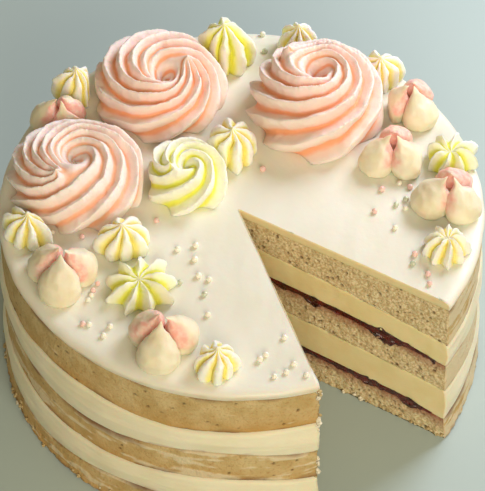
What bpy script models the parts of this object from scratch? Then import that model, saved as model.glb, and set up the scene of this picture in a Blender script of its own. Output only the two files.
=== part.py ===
"""A three-layer sponge cake with one slice taken out, filled with cream and jam, iced, and decorated
with piped buttercream.

Metres, +Z up. The origin is on the cake's axis at its base, and -Y is the front.
"""
import math
import random

import bmesh
import bpy

# The whole cake
CAKE_RADIUS = 0.100
BASE_RADIUS = 0.102                      # the lowest sponge spreads a little under the weight
ICING_TOP = 0.0868
GAP = 0.0003                             # between any two pieces

# The missing slice: its two cut faces meet at the tip, just in front of the axis
TIP = (-0.0005, -0.0036)
CUT_RIGHT = math.radians(335)
CUT_FRONT = math.radians(295)
STEPS_ROUND = 36

# Jam stops short of the wall, and thins out towards its edge
JAM_RADIUS = 0.095
JAM_FULL_RADIUS = 0.080
JAM_THICKNESS = 0.0022
JAM_EDGE = 0.0006
CREAM_MEETS_SPONGE = 0.0968

# Where the rings of points lie on a layer's faces
INNER_RING = 0.050

# Each boundary between two layers: height at the rim, rise to the middle, and its waves round the rim
BOUNDARIES = {
    "bottom_sponge": (0.0130, 0.0030, 0.0020, 4, 0.6),
    "lower_cream": (0.0288, 0.0065, 0.0016, 5, 2.2),
    "middle_sponge": (0.0450, 0.0062, 0.0018, 5, 1.9),
    "upper_cream": (0.0614, 0.0058, 0.0013, 6, 0.4),
    "top_sponge": (0.0826, 0.0004, 0.0003, 3, 1.0),
}

# Radii of each layer's side at its bottom, its middle and its top. Each starts where the one below ends.
SIDES = {
    "sponge_bottom": (BASE_RADIUS, 0.1014, 0.1008),
    "cream_lower": (0.1008, 0.1014, 0.1003),
    "sponge_middle": (0.1003, 0.1001, 0.0999),
    "cream_upper": (0.0999, 0.1009, 0.0998),
    "sponge_top": (0.0998, 0.0998, 0.0996),
}

# The icing's edge is rounded: radius and depth below the top
ICING_EDGE = ((0.0955, 0.0), (0.0985, 0.0006), (0.1000, 0.0022))
ICING_FLOOR_RADIUS = 0.0996

SPONGE = (0.72, 0.55, 0.33, 1)
CREAM = (0.93, 0.85, 0.62, 1)
JAM = (0.16, 0.012, 0.018, 1)
ICING = (0.93, 0.86, 0.70, 1)
PINK = (0.93, 0.66, 0.56, 1)
GREEN = (0.80, 0.87, 0.42, 1)
YELLOW = (0.94, 0.86, 0.52, 1)
TULIP_CREAM = (0.93, 0.82, 0.60, 1)

# Outlines of the piped forms, from the middle of the top down to the foot: share of radius, share of height
OUTLINES = {
    "rose": ((0.0, 0.76), (0.10, 0.84), (0.28, 0.97), (0.50, 1.0), (0.72, 0.93), (0.89, 0.73),
             (0.98, 0.44), (1.0, 0.18), (0.93, 0.0)),
    "kiss": ((0.0, 1.0), (0.12, 0.88), (0.34, 0.80), (0.60, 0.66), (0.84, 0.44), (0.98, 0.20),
             (0.92, 0.0)),
    "blossom": ((0.0, 0.66), (0.14, 0.70), (0.36, 0.92), (0.60, 1.0), (0.84, 0.74), (1.0, 0.26),
                (0.92, 0.0)),
    "tulip": ((0.0, 0.94), (0.12, 1.0), (0.34, 0.94), (0.62, 0.80), (0.88, 0.56), (1.0, 0.26),
              (0.90, 0.0)),
}

# Ridges, points of mesh for each ridge, depth of the folds, how narrow they are, and how far a ridge winds
RIDGES = {
    "rose": (10, 4, 0.17, 0.8, math.radians(150)),
    "swirl": (8, 4, 0.20, 0.8, math.radians(120)),
    "kiss": (8, 2, 0.22, 1.0, math.radians(8)),
    "blossom": (8, 2, 0.26, 1.0, math.radians(8)),
    "tulip": (3, 8, 0.52, 5.0, 0.0),
}

# Every piped piece: name, form, colour, place (x, y), radius, height, place of its pole, turn in degrees
PIPED = (
    ("rose_back_left", "rose", PINK, (-0.0410, 0.0568), 0.0272, 0.0215, (0.0040, -0.0060), 20),
    ("rose_back_right", "rose", PINK, (0.0265, 0.0530), 0.0290, 0.0275, (-0.0010, -0.0020), 50),
    ("rose_left", "rose", PINK, (-0.0675, 0.0033), 0.0268, 0.0205, (0.0010, 0.0020), 80),
    ("swirl_green", "swirl", GREEN, (-0.0240, 0.0085), 0.0174, 0.0175, (0.0020, 0.0020), 10),
    ("kiss_green", "kiss", GREEN, (-0.0160, 0.0815), 0.0120, 0.0230, (0.0, 0.0), 0),
    ("blossom_green_front", "blossom", GREEN, (-0.0355, -0.0507), 0.0138, 0.0110, (0.0, 0.0), 15),
    ("blossom_green_right", "blossom", GREEN, (0.0840, 0.0322), 0.0110, 0.0115, (0.0, 0.0), 30),
    ("kiss_yellow_1", "kiss", YELLOW, (-0.0755, 0.0537), 0.0090, 0.0155, (0.0, 0.0), 5),
    ("kiss_yellow_2", "kiss", YELLOW, (-0.0065, 0.0278), 0.0106, 0.0160, (0.0, 0.0), 12),
    ("kiss_yellow_3", "kiss", YELLOW, (-0.0850, -0.0263), 0.0098, 0.0135, (0.0, 0.0), 24),
    ("kiss_yellow_4", "kiss", YELLOW, (-0.0455, -0.0285), 0.0115, 0.0140, (0.0, 0.0), 18),
    ("kiss_yellow_5", "kiss", YELLOW, (-0.0003, -0.0875), 0.0100, 0.0130, (0.0, 0.0), 8),
    ("blossom_yellow", "blossom", YELLOW, (0.0853, -0.0173), 0.0098, 0.0118, (0.0, 0.0), 0),
    ("kiss_yellow_6", "kiss", YELLOW, (0.0515, 0.0755), 0.0092, 0.0140, (0.0, 0.0), 20),
    ("kiss_yellow_7", "kiss", YELLOW, (0.0150, 0.0903), 0.0086, 0.0150, (0.0, 0.0), 10),
    ("tulip_1", "tulip", TULIP_CREAM, (-0.0800, 0.0355), 0.0120, 0.0150, (0.0, 0.0), 60),
    ("tulip_2", "tulip", TULIP_CREAM, (-0.0672, -0.0490), 0.0143, 0.0165, (0.0, 0.0), -90),
    ("tulip_3", "tulip", TULIP_CREAM, (-0.0228, -0.0790), 0.0142, 0.0165, (0.0, 0.0), -95),
    ("tulip_4", "tulip", TULIP_CREAM, (0.0600, 0.0313), 0.0137, 0.0140, (0.0, 0.0), 90),
    ("tulip_5", "tulip", TULIP_CREAM, (0.0847, 0.0092), 0.0137, 0.0150, (0.0, 0.0), 80),
    ("tulip_6", "tulip", TULIP_CREAM, (0.0650, 0.0600), 0.0118, 0.0155, (0.0, 0.0), 70),
)
PRESS_DEPTH = 0.0040                     # how far in from a contact face a soft piece gives way
FOLD_START = 1.6                         # folds reach their full depth at 1/1.6 of the radius
FOLD_DROP = 0.7                          # how much lower a fold lies, as a share of how far it is drawn in
RIDGE_UNEVENNESS = 0.03                  # how much longer or shorter a ridge may be, as a share


def clear_scene():
    for obj in list(bpy.data.objects):
        bpy.data.objects.remove(obj, do_unlink=True)


def material(name, colour, roughness):
    made = bpy.data.materials.new(name)
    made.use_nodes = True
    shader = made.node_tree.nodes["Principled BSDF"]
    shader.inputs["Base Color"].default_value = colour
    shader.inputs["Roughness"].default_value = roughness
    shader.inputs["Metallic"].default_value = 0.0
    return made


def add_object(name, bm, colour, roughness, sharp_angle):
    """Closes off a bmesh as one smooth-shaded object with its own material."""
    bmesh.ops.recalc_face_normals(bm, faces=bm.faces)
    mesh = bpy.data.meshes.new(name)
    bm.to_mesh(mesh)
    bm.free()
    mesh.shade_smooth()
    mesh.set_sharp_from_angle(angle=math.radians(sharp_angle))
    mesh.materials.append(material(name, colour, roughness))
    obj = bpy.data.objects.new(name, mesh)
    bpy.context.scene.collection.objects.link(obj)
    return obj


# ---------------------------------------------------------------- layers

def boundary(name, lift=0.0):
    """Height of a boundary between layers, as a function of place."""
    rim, rise, wave, waves, phase = BOUNDARIES[name]

    def height(x, y):
        out = math.hypot(x, y) / CAKE_RADIUS
        around = math.atan2(y, x)
        ripple = math.cos(waves * around + phase) + 0.5 * math.cos((waves + 2) * around - phase)
        return rim + rise * (1 - out ** 2) + wave * out ** 2 * ripple + lift

    return height


def level(z):
    return lambda x, y: z


def jam_roof(name, lift=0.0):
    """Top of the jam on a sponge: full in the middle, thin at its edge."""
    sponge = boundary(name, GAP + lift)

    def height(x, y):
        out = math.hypot(x, y)
        share = min(max((JAM_RADIUS - out) / (JAM_RADIUS - JAM_FULL_RADIUS), 0.0), 1.0)
        return sponge(x, y) + JAM_EDGE + (JAM_THICKNESS - JAM_EDGE) * share

    return height


def between(low, high, share):
    return lambda x, y: low(x, y) * (1 - share) + high(x, y) * share


def on_cut(radius, angle):
    """The point of a cut face that lies this far from the axis."""
    along = (math.cos(angle), math.sin(angle))
    across = TIP[0] * along[0] + TIP[1] * along[1]
    reach = -across + math.sqrt(across ** 2 - TIP[0] ** 2 - TIP[1] ** 2 + radius ** 2)
    return TIP[0] + reach * along[0], TIP[1] + reach * along[1]


def ring(radius):
    """Points round the cake from the right cut face, over the back, to the front one."""
    first = math.atan2(*reversed(on_cut(radius, CUT_RIGHT)))
    last = math.atan2(*reversed(on_cut(radius, CUT_FRONT))) + 2 * math.pi
    points = []
    for step in range(STEPS_ROUND + 1):
        angle = first + (last - first) * step / STEPS_ROUND
        points.append((radius * math.cos(angle), radius * math.sin(angle)))
    return points


def add_strip(bm, first, second, inner_first):
    """Joins two rows of points. Its diagonals run the same way on a roof and on the floor above it."""
    for step in range(STEPS_ROUND):
        a, b, c, d = first[step], first[step + 1], second[step + 1], second[step]
        halves = ((a, b, c), (a, c, d)) if inner_first else ((a, b, d), (b, c, d))
        for corners in halves:
            if len(set(corners)) == 3:
                bm.faces.new(corners)


def layer(name, profile, colour, roughness):
    """A slab with the slice missing. Its profile runs from the tip out along the floor, up and back in."""
    bm = bmesh.new()
    floor, roof = profile[0][1], profile[-1][1]
    rows = [[bm.verts.new((*TIP, floor(*TIP)))] * (STEPS_ROUND + 1)]
    for radius, height in profile[1:-1]:
        rows.append([bm.verts.new((x, y, height(x, y))) for x, y in ring(radius)])
    rows.append([bm.verts.new((*TIP, roof(*TIP)))] * (STEPS_ROUND + 1))
    for index in range(len(rows) - 1):
        add_strip(bm, rows[index], rows[index + 1], profile[index][0] < profile[index + 1][0])
    for end in (0, STEPS_ROUND):
        bm.faces.new([row[end] for row in rows])
    return add_object(name, bm, colour, roughness, 40)


def sponge(name, floor, roof, roof_radii):
    low, middle, high = SIDES[name]
    profile = [(0, floor), (INNER_RING, floor), (low, floor), (middle, between(floor, roof, 0.5)),
               (high, roof)]
    profile += [(radius, roof) for radius in roof_radii] + [(0, roof)]
    return layer(name, profile, SPONGE, 0.9)


def jam(name, sponge_top):
    floor, roof = boundary(sponge_top, GAP), jam_roof(sponge_top)
    rings = (INNER_RING, JAM_FULL_RADIUS, JAM_RADIUS)
    profile = [(0, floor)] + [(radius, floor) for radius in rings]
    profile += [(radius, roof) for radius in reversed(rings)] + [(0, roof)]
    return layer(name, profile, JAM, 0.3)


def cream(name, sponge_top, roof):
    """Filling that lies on the jam and closes over its edge onto the sponge."""
    low, middle, high = SIDES[name]
    over_jam, on_sponge = jam_roof(sponge_top, GAP), boundary(sponge_top, GAP)
    profile = [(0, over_jam)]
    profile += [(radius, over_jam) for radius in (INNER_RING, JAM_FULL_RADIUS, JAM_RADIUS)]
    profile += [(CREAM_MEETS_SPONGE, on_sponge), (low, on_sponge), (middle, between(on_sponge, roof, 0.5)),
                (high, roof), (INNER_RING, roof), (0, roof)]
    return layer(name, profile, CREAM, 0.55)


def icing():
    floor = boundary("top_sponge", GAP)
    profile = [(0, floor), (INNER_RING, floor), (ICING_FLOOR_RADIUS, floor)]
    profile += [(radius, level(ICING_TOP - depth)) for radius, depth in reversed(ICING_EDGE)]
    profile += [(INNER_RING, level(ICING_TOP)), (0, level(ICING_TOP))]
    return layer("icing", profile, ICING, 0.45)


def layers():
    jam_rings = (JAM_RADIUS, JAM_FULL_RADIUS, INNER_RING)
    sponge("sponge_bottom", level(0.0), boundary("bottom_sponge"), jam_rings)
    jam("jam_lower", "bottom_sponge")
    cream("cream_lower", "bottom_sponge", boundary("lower_cream"))
    sponge("sponge_middle", boundary("lower_cream", GAP), boundary("middle_sponge"), jam_rings)
    jam("jam_upper", "middle_sponge")
    cream("cream_upper", "middle_sponge", boundary("upper_cream"))
    sponge("sponge_top", boundary("upper_cream", GAP), boundary("top_sponge"), (INNER_RING,))
    icing()


# ---------------------------------------------------------------- piped buttercream

def contacts(name, place, radius):
    """Vertical faces where this piece is pressed against a neighbour: direction and distance from its centre."""
    found = []
    for other, _, _, other_place, other_radius, _, _, _ in PIPED:
        dx, dy = other_place[0] - place[0], other_place[1] - place[1]
        apart = math.hypot(dx, dy)
        if other == name or apart > (radius + other_radius) * (1 + 2 * RIDGE_UNEVENNESS):
            continue
        face = (apart ** 2 + radius ** 2 - other_radius ** 2) / (2 * apart)
        found.append((dx / apart, dy / apart, face - GAP / 2))
    return found


def pressed(x, y, faces):
    """Moves a point of a soft piece back behind each contact face, more the further it stood out."""
    for along_x, along_y, face in faces:
        reach = x * along_x + y * along_y
        start = face - PRESS_DEPTH
        if reach > start:
            held = start + PRESS_DEPTH * (1 - math.exp(-(reach - start) / PRESS_DEPTH))
            x += (held - reach) * along_x
            y += (held - reach) * along_y
    return x, y


def fold(share, depth, narrowness):
    """How far the surface is drawn in at this share of the way from one ridge to the next."""
    return depth * math.sin(math.pi * share) ** narrowness


def piped(number, name, form, colour, place, radius, height, pole, turn):
    """Buttercream from a star nozzle: ridges run from the foot up to the pole, winding round on the way."""
    ridges, points, depth, narrowness, winding = RIDGES[form]
    outline = OUTLINES["rose" if form == "swirl" else form]
    rng = random.Random(number)
    lengths = [1 + RIDGE_UNEVENNESS * rng.uniform(-1, 1) for _ in range(ridges)]
    faces = contacts(name, place, radius)
    base = ICING_TOP + GAP
    columns = ridges * points
    bm = bmesh.new()
    rows = [[bm.verts.new((place[0] + pole[0], place[1] + pole[1], base + height * outline[0][1]))] * columns]
    for out, up in outline[1:]:
        row = []
        for column in range(columns):
            ridge, share = column // points, column % points / points
            length = lengths[ridge] * (1 - share) + lengths[(ridge + 1) % ridges] * share
            drawn_in = fold(share, depth, narrowness) * min(1.0, out * FOLD_START)
            angle = 2 * math.pi * column / columns + math.radians(turn)
            angle += winding * math.sqrt(max(1 - out ** 2, 0.0))
            reach = radius * out * length * (1 - drawn_in)
            x = pole[0] * (1 - out) + reach * math.cos(angle)
            y = pole[1] * (1 - out) + reach * math.sin(angle)
            x, y = pressed(x, y, faces)
            z = height * up * (1 - drawn_in * FOLD_DROP)
            row.append(bm.verts.new((place[0] + x, place[1] + y, base + z)))
        rows.append(row)
    for upper, lower in zip(rows, rows[1:]):
        for column in range(columns):
            after = (column + 1) % columns
            corners = (upper[column], lower[column], lower[after], upper[after])
            bm.faces.new(dict.fromkeys(corners))
    bm.faces.new(rows[-1])
    return add_object(name, bm, colour, 0.5, 60)


def main():
    clear_scene()
    layers()
    for number, piece in enumerate(PIPED):
        piped(number, *piece)


main()
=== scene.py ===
import math

import bpy
import numpy as np
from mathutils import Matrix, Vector, noise


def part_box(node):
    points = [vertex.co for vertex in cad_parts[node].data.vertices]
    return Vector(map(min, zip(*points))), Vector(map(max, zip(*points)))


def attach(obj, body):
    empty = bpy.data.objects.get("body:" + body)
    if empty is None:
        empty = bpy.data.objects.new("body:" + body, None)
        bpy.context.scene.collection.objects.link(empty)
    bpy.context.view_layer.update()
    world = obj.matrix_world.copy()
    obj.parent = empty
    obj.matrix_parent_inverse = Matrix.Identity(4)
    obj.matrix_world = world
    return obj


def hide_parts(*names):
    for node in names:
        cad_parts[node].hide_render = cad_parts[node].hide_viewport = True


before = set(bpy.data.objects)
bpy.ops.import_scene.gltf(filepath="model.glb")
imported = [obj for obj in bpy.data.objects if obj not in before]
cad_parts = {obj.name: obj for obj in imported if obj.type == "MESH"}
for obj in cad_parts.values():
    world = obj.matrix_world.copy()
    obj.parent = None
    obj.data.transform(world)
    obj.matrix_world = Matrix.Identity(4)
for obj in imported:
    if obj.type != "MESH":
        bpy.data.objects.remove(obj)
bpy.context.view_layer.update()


# ---------------------------------------------------------------- sponge
# Three rounds of vanilla sponge, golden where they touched the tin and pale inside. A slice was cut out with
# a long knife, which tore the crumb open, and the sides were wiped with a thin film of cream.

icing_low, icing_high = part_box("icing")
cake_radius = (icing_high.x - icing_low.x) / 2
foot_radius = cake_radius * 1.02                 # the lowest sponge spreads under the weight
tip = np.array((-0.0005, -0.0036))               # where the two cut faces meet
cut_right, cut_front = math.radians(335), math.radians(295)
heart = tip + 0.040 * np.array((math.cos(math.radians(135)), math.sin(math.radians(135))))

# Where one layer ends and the next begins: height at the rim, rise to the middle, waves round the rim
boundaries = {
    "bottom_sponge": (0.0130, 0.0030, 0.0020, 4, 0.6),
    "lower_cream": (0.0288, 0.0065, 0.0016, 5, 2.2),
    "middle_sponge": (0.0450, 0.0062, 0.0018, 5, 1.9),
    "upper_cream": (0.0614, 0.0058, 0.0013, 6, 0.4),
    "top_sponge": (0.0826, 0.0004, 0.0003, 3, 1.0),
}
CUT, WALL, FLOOR, ROOF = range(4)                # the faces of a layer
hole_depth, pore_depth, pit_depth = 0.0010, 0.00045, 0.0006    # open bubbles on the cuts and on the crust
film_thickness = 0.00022                         # of the cream wiped over the crust


def boundary(name, lift=0.0):
    """Height of the top of a layer, as a function of place."""
    rim, rise, wave, waves, phase = boundaries[name]

    def height(x, y):
        out = np.hypot(x, y) / cake_radius
        around = np.arctan2(y, x)
        ripple = np.cos(waves * around + phase) + 0.5 * np.cos((waves + 2) * around - phase)
        return rim + rise * (1 - out ** 2) + wave * out ** 2 * ripple + lift

    return height


def between(low, high, share):
    return lambda x, y: low(x, y) * (1 - share) + high(x, y) * share


def on_cut(radius, angle):
    """The point of a cut face that lies this far from the cake's axis."""
    along = np.array((math.cos(angle), math.sin(angle)))
    across = tip @ along
    return tip + along * (-across + math.sqrt(across ** 2 - tip @ tip + radius ** 2))


def outline(radius, cut_columns, wall_columns):
    """Points round a layer: out along the right cut, round the wall, and back along the front cut."""
    corners = on_cut(radius, cut_right), on_cut(radius, cut_front)
    first, last = (math.atan2(corner[1], corner[0]) for corner in corners)
    around = np.linspace(first, last + 2 * math.pi, wall_columns + 1)
    wall = radius * np.column_stack((np.cos(around), np.sin(around)))
    share = np.arange(cut_columns)[:, None] / cut_columns
    right = tip * (1 - share) + corners[0] * share
    front = corners[1] * (1 - share) + tip * share
    return np.concatenate((right, wall, front[1:]))


def plain_mesh(name, points, faces, values=None):
    """A smooth-shaded mesh object with named values at its points."""
    mesh = bpy.data.meshes.new(name)
    mesh.from_pydata(points.tolist(), [], faces)
    mesh.shade_smooth()
    for value_name, value in (values or {}).items():
        mesh.attributes.new(value_name, "FLOAT", "POINT").data.foreach_set("value", value.astype(np.float32))
    obj = bpy.data.objects.new(name, mesh)
    bpy.context.scene.collection.objects.link(obj)
    return obj


def slab(name, rows, columns, relief, roof_rings=(0.985, 0.95, 0.80, 0.45)):
    """A layer with the slice missing: a fine side round its whole outline, closed by a floor and a roof.

    rows are (radius, height function) from the bottom up. relief takes the points, their faces of the layer,
    and how far they lie above its floor and below its roof. It gives how far they stand out and named values.
    """
    floor_rings = (0.985, 0.95, 0.80, 0.45)
    floor, roof = rows[0][1], rows[-1][1]
    rings = []
    for radius, height in rows:
        x, y = outline(radius, *columns).T
        rings.append(np.column_stack((x, y, height(x, y))))
    count = len(rings[0])
    middle = rings[len(rings) // 2][:, :2]
    travel = np.roll(middle, -1, axis=0) - np.roll(middle, 1, axis=0)
    outward = np.column_stack((travel[:, 1], -travel[:, 0], np.zeros(count)))
    outward /= np.linalg.norm(outward, axis=1)[:, None]
    face = np.full(count, CUT)
    face[columns[0]:columns[0] + columns[1] + 1] = WALL
    points, normals, faces_of = [*rings], [outward] * len(rings), [face] * len(rings)
    for shrink, (edge, height, up) in [*[(s, (rings[0], floor, -1)) for s in floor_rings],
                                       *[(s, (rings[-1], roof, 1)) for s in roof_rings]]:
        x, y = (heart + (edge[:, :2] - heart) * shrink).T
        points.append(np.column_stack((x, y, height(x, y))))
        normals.append(np.tile((0.0, 0.0, up), (count, 1)))
        faces_of.append(np.full(count, FLOOR if up < 0 else ROOF))
    ends = [np.array([[*heart, height(*heart)]]) for height in (floor, roof)]
    points = np.concatenate(points + ends)
    normals = np.concatenate(normals + [np.array([[0, 0, -1.0], [0, 0, 1.0]])])
    faces_of = np.concatenate(faces_of + [np.array([FLOOR, ROOF])])
    to_floor = points[:, 2] - floor(points[:, 0], points[:, 1])
    to_roof = roof(points[:, 0], points[:, 1]) - points[:, 2]
    stands_out, values = relief(points, faces_of, to_floor, to_roof)
    points = points + normals * stands_out[:, None]

    sides, floors = len(rows), len(floor_rings)
    chains = [(range(sides), False), ([0, *range(sides, sides + floors)], True),
              ([sides - 1, *range(sides + floors, sides + floors + len(roof_rings))], False)]
    faces = []
    column = np.arange(count)
    after = (column + 1) % count
    for chain, turned in chains:
        for lower, upper in zip(chain, chain[1:]):
            below, over = lower * count, upper * count
            quad = (below + column, below + after, over + after, over + column)
            faces.append(np.column_stack(quad[::-1] if turned else quad))
    faces = np.concatenate(faces).tolist()
    for ring, centre, turned in ((chains[1][0][-1], len(points) - 2, True),
                                 (chains[2][0][-1], len(points) - 1, False)):
        fan = np.column_stack((ring * count + column, ring * count + after, np.full(count, centre)))
        faces += (fan[:, ::-1] if turned else fan).tolist()
    return plain_mesh(name, points, faces, values)


def plain_side(floor, roof, radii, steps):
    """Rows for a layer's side; the radii are those at its foot, halfway up and at its top."""
    shares = np.linspace(0, 1, steps + 1)
    return [(float(np.interp(share, (0, 0.5, 1), radii)), between(floor, roof, share)) for share in shares]


def noise_at(points, size, shift=0.0, octaves=1):
    """Smooth noise, about -1 to 1; size is how far apart its bumps lie, one number or one for each axis."""
    scaled = points / np.array(size) + shift
    return np.array([noise.fractal(Vector(p), 0.8, 2.0, octaves) for p in scaled.tolist()])


def bubbles_at(points, size, share, radii, shift=0.0):
    """How deep each point lies in an open bubble, 0 to 1. share is how many of the cells hold one."""
    deep = np.zeros(len(points))
    for index, p in enumerate((points / size + shift).tolist()):
        distances, centres = noise.voronoi(Vector(p))
        if abs(noise.cell(centres[0] * 97.0)) < share:
            radius = radii[0] + (radii[1] - radii[0]) * abs(noise.cell(centres[0] * 31.0))
            deep[index] = max(0.0, 1.0 - distances[0] / radius)
    return deep


def smooth_step(value, low, high):
    share = np.clip((value - low) / (high - low), 0.0, 1.0)
    return share * share * (3 - 2 * share)


def around_cake(points):
    """Angle of each point round the cake, in degrees from 0 to 360."""
    return np.degrees(np.arctan2(points[:, 1], points[:, 0])) % 360


def sponge_relief(shift, film_from, jammy, ragged_foot=False):
    """Torn crumb on the cuts and a fine crust with a film of cream on the wall. film_from is how much film
    the left, the front and the right of the wall carry. jammy is whether jam has soaked in from above, and
    ragged_foot whether the lowest edge is torn."""

    def relief(points, face, above, below):
        cut = face == CUT
        wall = face == WALL
        edge = np.minimum(above, below)
        big = bubbles_at(points, 0.0026, 0.88, (0.12, 0.43), shift)
        small = bubbles_at(points, 0.0014, 0.60, (0.20, 0.46), shift + 40)
        lumps = noise_at(points, 0.0050, shift, 2)
        grain = noise_at(points, 0.0013, shift + 9)
        crumb = 0.00045 * lumps + 0.00028 * grain - hole_depth * smooth_step(big, 0.0, 0.6) * (edge > 0.0006)
        crumb -= pore_depth * smooth_step(small, 0.0, 0.6)
        pits = bubbles_at(points, 0.0042, 0.80, (0.08, 0.22), shift + 70)
        swell = noise_at(points, 0.022, shift + 20, 2)
        crust = 0.00045 * swell + 0.00010 * grain + 0.00012 * lumps - pit_depth * smooth_step(pits, 0.0, 0.5)
        angle = around_cake(points)
        cover = np.interp(angle, (0, 60, 180, 240, 292, 338, 360),
                          (film_from[2], film_from[0], film_from[0], film_from[0], film_from[1],
                           film_from[2], film_from[2]))
        streaks = noise_at(points, (0.026, 0.026, 0.0040), shift + 55, 3)
        film = smooth_step(streaks * 0.8 + cover + 0.25 * noise_at(points, 0.0028, shift + 5), 0.0, 0.45)
        crust += film_thickness * film
        rounding = np.where(wall, 0.0010, 0.0004) * np.clip(1 - edge / 0.0012, 0, 1) ** 2
        if ragged_foot:
            torn = noise_at(points, (0.0026, 0.0026, 0.0040), shift + 90, 2)
            rounding = rounding - 0.0009 * torn * np.exp(-points[:, 2] / 0.0035)
        stands_out = np.where(cut, crumb, np.where(wall, crust, 0.0)) - rounding * (cut | wall)
        soaked = np.clip(1 - below / (0.0048 + 0.0045 * (0.5 + 0.5 * lumps)), 0, 1) if jammy else 0 * below
        # Along the top and bottom of the wall: jam soaked in and browned crust, with painted shade where the
        # cream meets the sponge
        patch = smooth_step(noise_at(points, (0.018, 0.018, 0.012), shift + 61, 2), -0.35, 0.45)
        seam = np.clip(1 - edge / (0.0007 + 0.0028 * patch), 0, 1) * (0.4 + 0.6 * patch)
        values = {
            "crust": np.where(cut, 0.75 * np.exp(-edge / 0.0007), 1.0),
            # pore is painted shade: it darkens the open bubbles on the cuts and the pits in the crust
            "pore": np.clip(np.where(cut, smooth_step(big, 0.0, 0.5) + 0.25 * smooth_step(small, 0.1, 0.6),
                                     1.3 * smooth_step(pits, 0.0, 0.4)), 0, 1),
            "film": np.where(wall, film, 0.0),
            "soaked": np.where(cut, soaked, 0.0),
            "seam": np.where(wall, seam, 0.0),
            "baked": np.where(wall, np.exp(-above / 0.0065) * (0.8 + 0.5 * swell), 0.0),
        }
        return stands_out, values

    return relief


def add_node(tree, kind, inputs=(), **settings):
    """One node with its settings made. inputs are fed in order, or by name from a dictionary: sockets are
    linked, and anything else is set as the value."""
    node = tree.nodes.new(kind)
    for setting, value in settings.items():
        setattr(node, setting, value)
    pairs = inputs.items() if isinstance(inputs, dict) else enumerate(inputs)
    for socket, value in pairs:
        if isinstance(value, bpy.types.NodeSocket):
            tree.links.new(value, node.inputs[socket])
        elif value is not None:
            node.inputs[socket].default_value = value
    return node


class Finish:
    """A material that is built up from the object's own coordinates and the values at its points."""

    def __init__(self, name, **constants):
        self.material = bpy.data.materials.new(name)
        self.material.use_nodes = True
        self.tree = self.material.node_tree
        self.shader = self.tree.nodes["Principled BSDF"]
        self.place = add_node(self.tree, "ShaderNodeTexCoord").outputs["Object"]
        for socket, value in constants.items():
            self.shader.inputs[socket.replace("_", " ")].default_value = value

    def value(self, name):
        return add_node(self.tree, "ShaderNodeAttribute", attribute_name=name).outputs["Fac"]

    def maths(self, operation, *values):
        return add_node(self.tree, "ShaderNodeMath", values, operation=operation).outputs[0]

    def grain(self, size, detail=2.0, stretch=None):
        """Noise from 0 to 1 with grains of this size in metres."""
        place = self.place
        if stretch:
            feeds = (place, stretch)
            place = add_node(self.tree, "ShaderNodeVectorMath", feeds, operation="MULTIPLY").outputs[0]
        feeds = {"Vector": place, "Scale": 1 / size, "Detail": detail}
        return add_node(self.tree, "ShaderNodeTexNoise", feeds).outputs[0]

    def ramp(self, share, low, high, start=0.0, end=1.0):
        feeds = (share, low, high, start, end)
        return add_node(self.tree, "ShaderNodeMapRange", feeds, interpolation_type="SMOOTHSTEP").outputs[0]

    def mix(self, share, first, second, blend="MIX"):
        node = add_node(self.tree, "ShaderNodeMix", data_type="RGBA", blend_type=blend)
        for index, value in ((0, share), (6, first), (7, second)):
            if isinstance(value, bpy.types.NodeSocket):
                self.tree.links.new(value, node.inputs[index])
            else:
                node.inputs[index].default_value = (*value, 1) if isinstance(value, tuple) else value
        return node.outputs[2]

    def mottle(self, size, detail, dark, light, start=0.3, end=0.7):
        """Two colours in soft spots of this size."""
        return self.mix(self.ramp(self.grain(size, detail), start, end), dark, light)

    def tint(self, colour, value_name, strength, tint):
        """Lays a tint over the colour where a value at the points is high."""
        return self.mix(self.maths("MULTIPLY", self.value(value_name), strength), colour, tint)

    def rough(self, size, detail, low, high):
        """Roughness that wanders between two values."""
        self.set("Roughness", self.ramp(self.grain(size, detail), 0.3, 0.7, low, high))

    def set(self, socket, value):
        self.tree.links.new(value, self.shader.inputs[socket])

    def bump(self, height, depth):
        """Fine relief of this depth in metres; calling it again lays one relief over the other."""
        feeds = {"Height": height, "Distance": depth, "Strength": 1.0}
        node = add_node(self.tree, "ShaderNodeBump", feeds)
        if self.shader.inputs["Normal"].is_linked:
            self.tree.links.new(self.shader.inputs["Normal"].links[0].from_socket, node.inputs["Normal"])
        self.set("Normal", node.outputs[0])


def sponge_finish():
    finish = Finish("sponge_crumb", Subsurface_Weight=0.15, Subsurface_Scale=0.0015, Specular_IOR_Level=0.25)
    crumb = finish.mottle(0.0011, 3, (0.54, 0.40, 0.205), (0.83, 0.71, 0.46), 0.35, 0.65)
    crumb = finish.mix(finish.ramp(finish.grain(0.007), 0.3, 0.7, 0.0, 0.35), crumb, (0.58, 0.43, 0.20))
    crust = finish.mottle(0.009, 4, (0.64, 0.49, 0.25), (0.51, 0.36, 0.15))
    crust = finish.mix(finish.ramp(finish.grain(0.0012, 3), 0.5, 0.75, 0.0, 0.6), crust, (0.40, 0.22, 0.07))
    crust = finish.tint(crust, "baked", 0.95, (0.55, 0.29, 0.075))
    colour = finish.mix(finish.value("crust"), crumb, crust)
    # Painted shade inside the open bubbles of the crumb and the pits of the crust
    colour = finish.tint(colour, "pore", 0.85, (0.075, 0.042, 0.018))
    colour = finish.tint(colour, "soaked", 0.85, (0.24, 0.045, 0.030))
    smears = finish.maths("MULTIPLY", finish.grain(0.002, 4), 0.6)
    uneven_film = finish.maths("ADD", finish.value("film"), smears)
    wiped = finish.ramp(uneven_film, 0.35, 1.25, 0.0, 0.68)
    colour = finish.mix(wiped, colour, (0.78, 0.67, 0.46))
    # Partly jam and browned crust, partly painted shade along the joins with the cream
    colour = finish.tint(colour, "seam", 0.9, (0.15, 0.06, 0.035))
    finish.set("Base Color", colour)
    finish.set("Roughness", finish.ramp(wiped, 0.0, 1.0, 0.92, 0.55))
    finish.bump(finish.grain(0.0009, 4), 0.00045)
    finish.bump(finish.grain(0.0035, 3), 0.0006)
    return finish.material


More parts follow.
